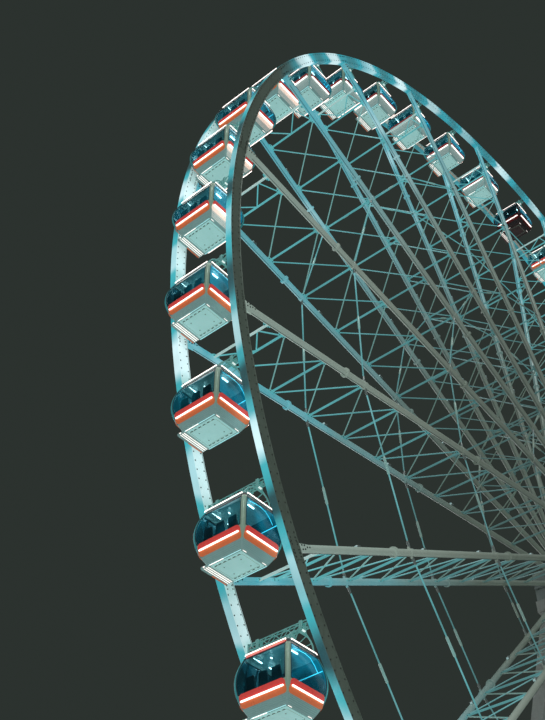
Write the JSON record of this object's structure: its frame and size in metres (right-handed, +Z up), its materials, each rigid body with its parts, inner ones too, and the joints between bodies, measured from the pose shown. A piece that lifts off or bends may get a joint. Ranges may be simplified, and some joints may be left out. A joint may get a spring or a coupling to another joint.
{
  "type": "observation wheel, 1:2 scale model",
  "caption": "Tall observation wheel on two A-frames: twin rims on braced spoke frames carry glazed barrel cabins that stay level as it turns.",
  "frame": {"origin": "on the ground under the middle of the hub", "axes": "+Z up, the axle along Y with the camera side at -Y, +X level in the wheel's plane"},
  "size_m": [28.2732, 6.0106, 29.867],
  "materials": {
    "rim_steel": "satin pale paint",
    "spoke_steel": "satin pale paint",
    "hub_steel": "satin pale paint",
    "stand_steel": "satin pale paint",
    "deck_plate": "ribbed, dull",
    "cabin_shell": "satin grey-green paint",
    "cabin_dark": "gloss dark paint",
    "cabin_glass": "tinted glazing",
    "coral_panel": "satin coral paint",
    "light_tube": "glowing white diffuser",
    "bolt_steel": "dull dark steel",
    "seat_plastic": "dark moulded seats"
  },
  "bodies": {
    "stand": {"base_frame": "stand_steel", "near_a_frame": "stand_steel", "far_a_frame": "stand_steel", "near_bearing": "stand_steel", "far_bearing": "stand_steel", "boarding_deck": "deck_plate", "near_rail": "stand_steel", "far_rail": "stand_steel", "entry_steps": "deck_plate", "exit_steps": "deck_plate"},
    "wheel": {"near_ring": "rim_steel", "far_ring": "rim_steel", "hub": "hub_steel", "spoke_set_1": "spoke_steel", "spoke_set_2": "spoke_steel", "spoke_set_3": "spoke_steel"},
    "cabin_01": {"cabin_01": "cabin_shell"},
    "cabin_02": {"cabin_02": "cabin_shell"},
    "cabin_03": {"cabin_03": "cabin_shell"},
    "cabin_04": {"cabin_04": "cabin_shell"},
    "cabin_05": {"cabin_05": "cabin_shell"},
    "cabin_06": {"cabin_06": "cabin_shell"},
    "cabin_07": {"cabin_07": "cabin_shell"},
    "cabin_08": {"cabin_08": "cabin_shell"},
    "cabin_09": {"cabin_09": "cabin_shell"},
    "cabin_10": {"cabin_10": "cabin_shell"},
    "cabin_11": {"cabin_11": "cabin_dark"},
    "cabin_12": {"cabin_12": "cabin_shell"},
    "cabin_13": {"cabin_13": "cabin_shell"},
    "cabin_14": {"cabin_14": "cabin_shell"},
    "cabin_15": {"cabin_15": "cabin_shell"},
    "cabin_16": {"cabin_16": "cabin_shell"},
    "cabin_17": {"cabin_17": "cabin_shell"},
    "cabin_18": {"cabin_18": "cabin_shell"},
    "cabin_19": {"cabin_19": "cabin_shell"},
    "cabin_20": {"cabin_20": "cabin_shell"},
    "cabin_21": {"cabin_21": "cabin_shell"},
    "cabin_22": {"cabin_22": "cabin_shell"},
    "cabin_23": {"cabin_23": "cabin_shell"},
    "cabin_24": {"cabin_24": "cabin_shell"},
    "cabin_25": {"cabin_25": "cabin_shell"},
    "cabin_26": {"cabin_26": "cabin_shell"},
    "cabin_27": {"cabin_27": "cabin_shell"},
    "cabin_28": {"cabin_28": "cabin_shell"},
    "cabin_29": {"cabin_29": "cabin_shell"},
    "cabin_30": {"cabin_30": "cabin_shell"},
    "cabin_31": {"cabin_31": "cabin_shell"},
    "cabin_32": {"cabin_32": "cabin_shell"},
    "cabin_33": {"cabin_33": "cabin_shell"},
    "cabin_34": {"cabin_34": "cabin_shell"},
    "cabin_35": {"cabin_35": "cabin_shell"},
    "cabin_36": {"cabin_36": "cabin_shell"},
    "cabin_37": {"cabin_37": "cabin_shell"},
    "cabin_38": {"cabin_38": "cabin_shell"},
    "cabin_39": {"cabin_39": "cabin_shell"},
    "cabin_40": {"cabin_40": "cabin_shell"},
    "cabin_41": {"cabin_41": "cabin_shell"},
    "cabin_42": {"cabin_42": "cabin_shell"}
  },
  "joints": [
    {"name": "wheel_spin", "type": "hinge", "parent": "stand", "child": "wheel", "pos_m": [0, 0, 16], "axis": [0, 1, 0], "continuous": true},
    {"name": "cabin_01_pivot", "type": "hinge", "parent": "wheel", "child": "cabin_01", "pos_m": [13.71155, 0, 17.02754], "axis": [0, 1, 0], "continuous": true},
    {"name": "cabin_02_pivot", "type": "hinge", "parent": "wheel", "child": "cabin_02", "pos_m": [13.40526, 0, 19.05966], "axis": [0, 1, 0], "continuous": true},
    {"name": "cabin_03_pivot", "type": "hinge", "parent": "wheel", "child": "cabin_03", "pos_m": [12.79951, 0, 21.02344], "axis": [0, 1, 0], "continuous": true},
    {"name": "cabin_04_pivot", "type": "hinge", "parent": "wheel", "child": "cabin_04", "pos_m": [11.90785, 0, 22.875], "axis": [0, 1, 0], "continuous": true},
    {"name": "cabin_05_pivot", "type": "hinge", "parent": "wheel", "child": "cabin_05", "pos_m": [10.75018, 0, 24.57298], "axis": [0, 1, 0], "continuous": true},
    {"name": "cabin_06_pivot", "type": "hinge", "parent": "wheel", "child": "cabin_06", "pos_m": [9.35238, 0, 26.07946], "axis": [0, 1, 0], "continuous": true},
    {"name": "cabin_07_pivot", "type": "hinge", "parent": "wheel", "child": "cabin_07", "pos_m": [7.74565, 0, 27.36078], "axis": [0, 1, 0], "continuous": true},
    {"name": "cabin_08_pivot", "type": "hinge", "parent": "wheel", "child": "cabin_08", "pos_m": [5.9659, 0, 28.38832], "axis": [0, 1, 0], "continuous": true},
    {"name": "cabin_09_pivot", "type": "hinge", "parent": "wheel", "child": "cabin_09", "pos_m": [4.05288, 0, 29.13913], "axis": [0, 1, 0], "continuous": true},
    {"name": "cabin_10_pivot", "type": "hinge", "parent": "wheel", "child": "cabin_10", "pos_m": [2.04933, 0, 29.59642], "axis": [0, 1, 0], "continuous": true},
    {"name": "cabin_11_pivot", "type": "hinge", "parent": "wheel", "child": "cabin_11", "pos_m": [0, 0, 29.75], "axis": [0, 1, 0], "continuous": true},
    {"name": "cabin_12_pivot", "type": "hinge", "parent": "wheel", "child": "cabin_12", "pos_m": [-2.04933, 0, 29.59642], "axis": [0, 1, 0], "continuous": true},
    {"name": "cabin_13_pivot", "type": "hinge", "parent": "wheel", "child": "cabin_13", "pos_m": [-4.05288, 0, 29.13913], "axis": [0, 1, 0], "continuous": true},
    {"name": "cabin_14_pivot", "type": "hinge", "parent": "wheel", "child": "cabin_14", "pos_m": [-5.9659, 0, 28.38832], "axis": [0, 1, 0], "continuous": true},
    {"name": "cabin_15_pivot", "type": "hinge", "parent": "wheel", "child": "cabin_15", "pos_m": [-7.74565, 0, 27.36078], "axis": [0, 1, 0], "continuous": true},
    {"name": "cabin_16_pivot", "type": "hinge", "parent": "wheel", "child": "cabin_16", "pos_m": [-9.35238, 0, 26.07946], "axis": [0, 1, 0], "continuous": true},
    {"name": "cabin_17_pivot", "type": "hinge", "parent": "wheel", "child": "cabin_17", "pos_m": [-10.75018, 0, 24.57298], "axis": [0, 1, 0], "continuous": true},
    {"name": "cabin_18_pivot", "type": "hinge", "parent": "wheel", "child": "cabin_18", "pos_m": [-11.90785, 0, 22.875], "axis": [0, 1, 0], "continuous": true},
    {"name": "cabin_19_pivot", "type": "hinge", "parent": "wheel", "child": "cabin_19", "pos_m": [-12.79951, 0, 21.02344], "axis": [0, 1, 0], "continuous": true},
    {"name": "cabin_20_pivot", "type": "hinge", "parent": "wheel", "child": "cabin_20", "pos_m": [-13.40526, 0, 19.05966], "axis": [0, 1, 0], "continuous": true},
    {"name": "cabin_21_pivot", "type": "hinge", "parent": "wheel", "child": "cabin_21", "pos_m": [-13.71155, 0, 17.02754], "axis": [0, 1, 0], "continuous": true},
    {"name": "cabin_22_pivot", "type": "hinge", "parent": "wheel", "child": "cabin_22", "pos_m": [-13.71155, 0, 14.97246], "axis": [0, 1, 0], "continuous": true},
    {"name": "cabin_23_pivot", "type": "hinge", "parent": "wheel", "child": "cabin_23", "pos_m": [-13.40526, 0, 12.94034], "axis": [0, 1, 0], "continuous": true},
    {"name": "cabin_24_pivot", "type": "hinge", "parent": "wheel", "child": "cabin_24", "pos_m": [-12.79951, 0, 10.97656], "axis": [0, 1, 0], "continuous": true},
    {"name": "cabin_25_pivot", "type": "hinge", "parent": "wheel", "child": "cabin_25", "pos_m": [-11.90785, 0, 9.125], "axis": [0, 1, 0], "continuous": true},
    {"name": "cabin_26_pivot", "type": "hinge", "parent": "wheel", "child": "cabin_26", "pos_m": [-10.75018, 0, 7.42701], "axis": [0, 1, 0], "continuous": true},
    {"name": "cabin_27_pivot", "type": "hinge", "parent": "wheel", "child": "cabin_27", "pos_m": [-9.35238, 0, 5.92054], "axis": [0, 1, 0], "continuous": true},
    {"name": "cabin_28_pivot", "type": "hinge", "parent": "wheel", "child": "cabin_28", "pos_m": [-7.74565, 0, 4.63922], "axis": [0, 1, 0], "continuous": true},
    {"name": "cabin_29_pivot", "type": "hinge", "parent": "wheel", "child": "cabin_29", "pos_m": [-5.9659, 0, 3.61168], "axis": [0, 1, 0], "continuous": true},
    {"name": "cabin_30_pivot", "type": "hinge", "parent": "wheel", "child": "cabin_30", "pos_m": [-4.05288, 0, 2.86087], "axis": [0, 1, 0], "continuous": true},
    {"name": "cabin_31_pivot", "type": "hinge", "parent": "wheel", "child": "cabin_31", "pos_m": [-2.04933, 0, 2.40358], "axis": [0, 1, 0], "continuous": true},
    {"name": "cabin_32_pivot", "type": "hinge", "parent": "wheel", "child": "cabin_32", "pos_m": [0, 0, 2.25], "axis": [0, 1, 0], "continuous": true},
    {"name": "cabin_33_pivot", "type": "hinge", "parent": "wheel", "child": "cabin_33", "pos_m": [2.04933, 0, 2.40358], "axis": [0, 1, 0], "continuous": true},
    {"name": "cabin_34_pivot", "type": "hinge", "parent": "wheel", "child": "cabin_34", "pos_m": [4.05288, 0, 2.86087], "axis": [0, 1, 0], "continuous": true},
    {"name": "cabin_35_pivot", "type": "hinge", "parent": "wheel", "child": "cabin_35", "pos_m": [5.9659, 0, 3.61168], "axis": [0, 1, 0], "continuous": true},
    {"name": "cabin_36_pivot", "type": "hinge", "parent": "wheel", "child": "cabin_36", "pos_m": [7.74565, 0, 4.63922], "axis": [0, 1, 0], "continuous": true},
    {"name": "cabin_37_pivot", "type": "hinge", "parent": "wheel", "child": "cabin_37", "pos_m": [9.35238, 0, 5.92054], "axis": [0, 1, 0], "continuous": true},
    {"name": "cabin_38_pivot", "type": "hinge", "parent": "wheel", "child": "cabin_38", "pos_m": [10.75018, 0, 7.42701], "axis": [0, 1, 0], "continuous": true},
    {"name": "cabin_39_pivot", "type": "hinge", "parent": "wheel", "child": "cabin_39", "pos_m": [11.90785, 0, 9.125], "axis": [0, 1, 0], "continuous": true},
    {"name": "cabin_40_pivot", "type": "hinge", "parent": "wheel", "child": "cabin_40", "pos_m": [12.79951, 0, 10.97656], "axis": [0, 1, 0], "continuous": true},
    {"name": "cabin_41_pivot", "type": "hinge", "parent": "wheel", "child": "cabin_41", "pos_m": [13.40526, 0, 12.94034], "axis": [0, 1, 0], "continuous": true},
    {"name": "cabin_42_pivot", "type": "hinge", "parent": "wheel", "child": "cabin_42", "pos_m": [13.71155, 0, 14.97246], "axis": [0, 1, 0], "continuous": true}
  ],
  "couplings": [
    {"joint": "cabin_01_pivot", "follows": "wheel_spin", "ratio": -1},
    {"joint": "cabin_02_pivot", "follows": "wheel_spin", "ratio": -1},
    {"joint": "cabin_03_pivot", "follows": "wheel_spin", "ratio": -1},
    {"joint": "cabin_04_pivot", "follows": "wheel_spin", "ratio": -1},
    {"joint": "cabin_05_pivot", "follows": "wheel_spin", "ratio": -1},
    {"joint": "cabin_06_pivot", "follows": "wheel_spin", "ratio": -1},
    {"joint": "cabin_07_pivot", "follows": "wheel_spin", "ratio": -1},
    {"joint": "cabin_08_pivot", "follows": "wheel_spin", "ratio": -1},
    {"joint": "cabin_09_pivot", "follows": "wheel_spin", "ratio": -1},
    {"joint": "cabin_10_pivot", "follows": "wheel_spin", "ratio": -1},
    {"joint": "cabin_11_pivot", "follows": "wheel_spin", "ratio": -1},
    {"joint": "cabin_12_pivot", "follows": "wheel_spin", "ratio": -1},
    {"joint": "cabin_13_pivot", "follows": "wheel_spin", "ratio": -1},
    {"joint": "cabin_14_pivot", "follows": "wheel_spin", "ratio": -1},
    {"joint": "cabin_15_pivot", "follows": "wheel_spin", "ratio": -1},
    {"joint": "cabin_16_pivot", "follows": "wheel_spin", "ratio": -1},
    {"joint": "cabin_17_pivot", "follows": "wheel_spin", "ratio": -1},
    {"joint": "cabin_18_pivot", "follows": "wheel_spin", "ratio": -1},
    {"joint": "cabin_19_pivot", "follows": "wheel_spin", "ratio": -1},
    {"joint": "cabin_20_pivot", "follows": "wheel_spin", "ratio": -1},
    {"joint": "cabin_21_pivot", "follows": "wheel_spin", "ratio": -1},
    {"joint": "cabin_22_pivot", "follows": "wheel_spin", "ratio": -1},
    {"joint": "cabin_23_pivot", "follows": "wheel_spin", "ratio": -1},
    {"joint": "cabin_24_pivot", "follows": "wheel_spin", "ratio": -1},
    {"joint": "cabin_25_pivot", "follows": "wheel_spin", "ratio": -1},
    {"joint": "cabin_26_pivot", "follows": "wheel_spin", "ratio": -1},
    {"joint": "cabin_27_pivot", "follows": "wheel_spin", "ratio": -1},
    {"joint": "cabin_28_pivot", "follows": "wheel_spin", "ratio": -1},
    {"joint": "cabin_29_pivot", "follows": "wheel_spin", "ratio": -1},
    {"joint": "cabin_30_pivot", "follows": "wheel_spin", "ratio": -1},
    {"joint": "cabin_31_pivot", "follows": "wheel_spin", "ratio": -1},
    {"joint": "cabin_32_pivot", "follows": "wheel_spin", "ratio": -1},
    {"joint": "cabin_33_pivot", "follows": "wheel_spin", "ratio": -1},
    {"joint": "cabin_34_pivot", "follows": "wheel_spin", "ratio": -1},
    {"joint": "cabin_35_pivot", "follows": "wheel_spin", "ratio": -1},
    {"joint": "cabin_36_pivot", "follows": "wheel_spin", "ratio": -1},
    {"joint": "cabin_37_pivot", "follows": "wheel_spin", "ratio": -1},
    {"joint": "cabin_38_pivot", "follows": "wheel_spin", "ratio": -1},
    {"joint": "cabin_39_pivot", "follows": "wheel_spin", "ratio": -1},
    {"joint": "cabin_40_pivot", "follows": "wheel_spin", "ratio": -1},
    {"joint": "cabin_41_pivot", "follows": "wheel_spin", "ratio": -1},
    {"joint": "cabin_42_pivot", "follows": "wheel_spin", "ratio": -1}
  ]
}
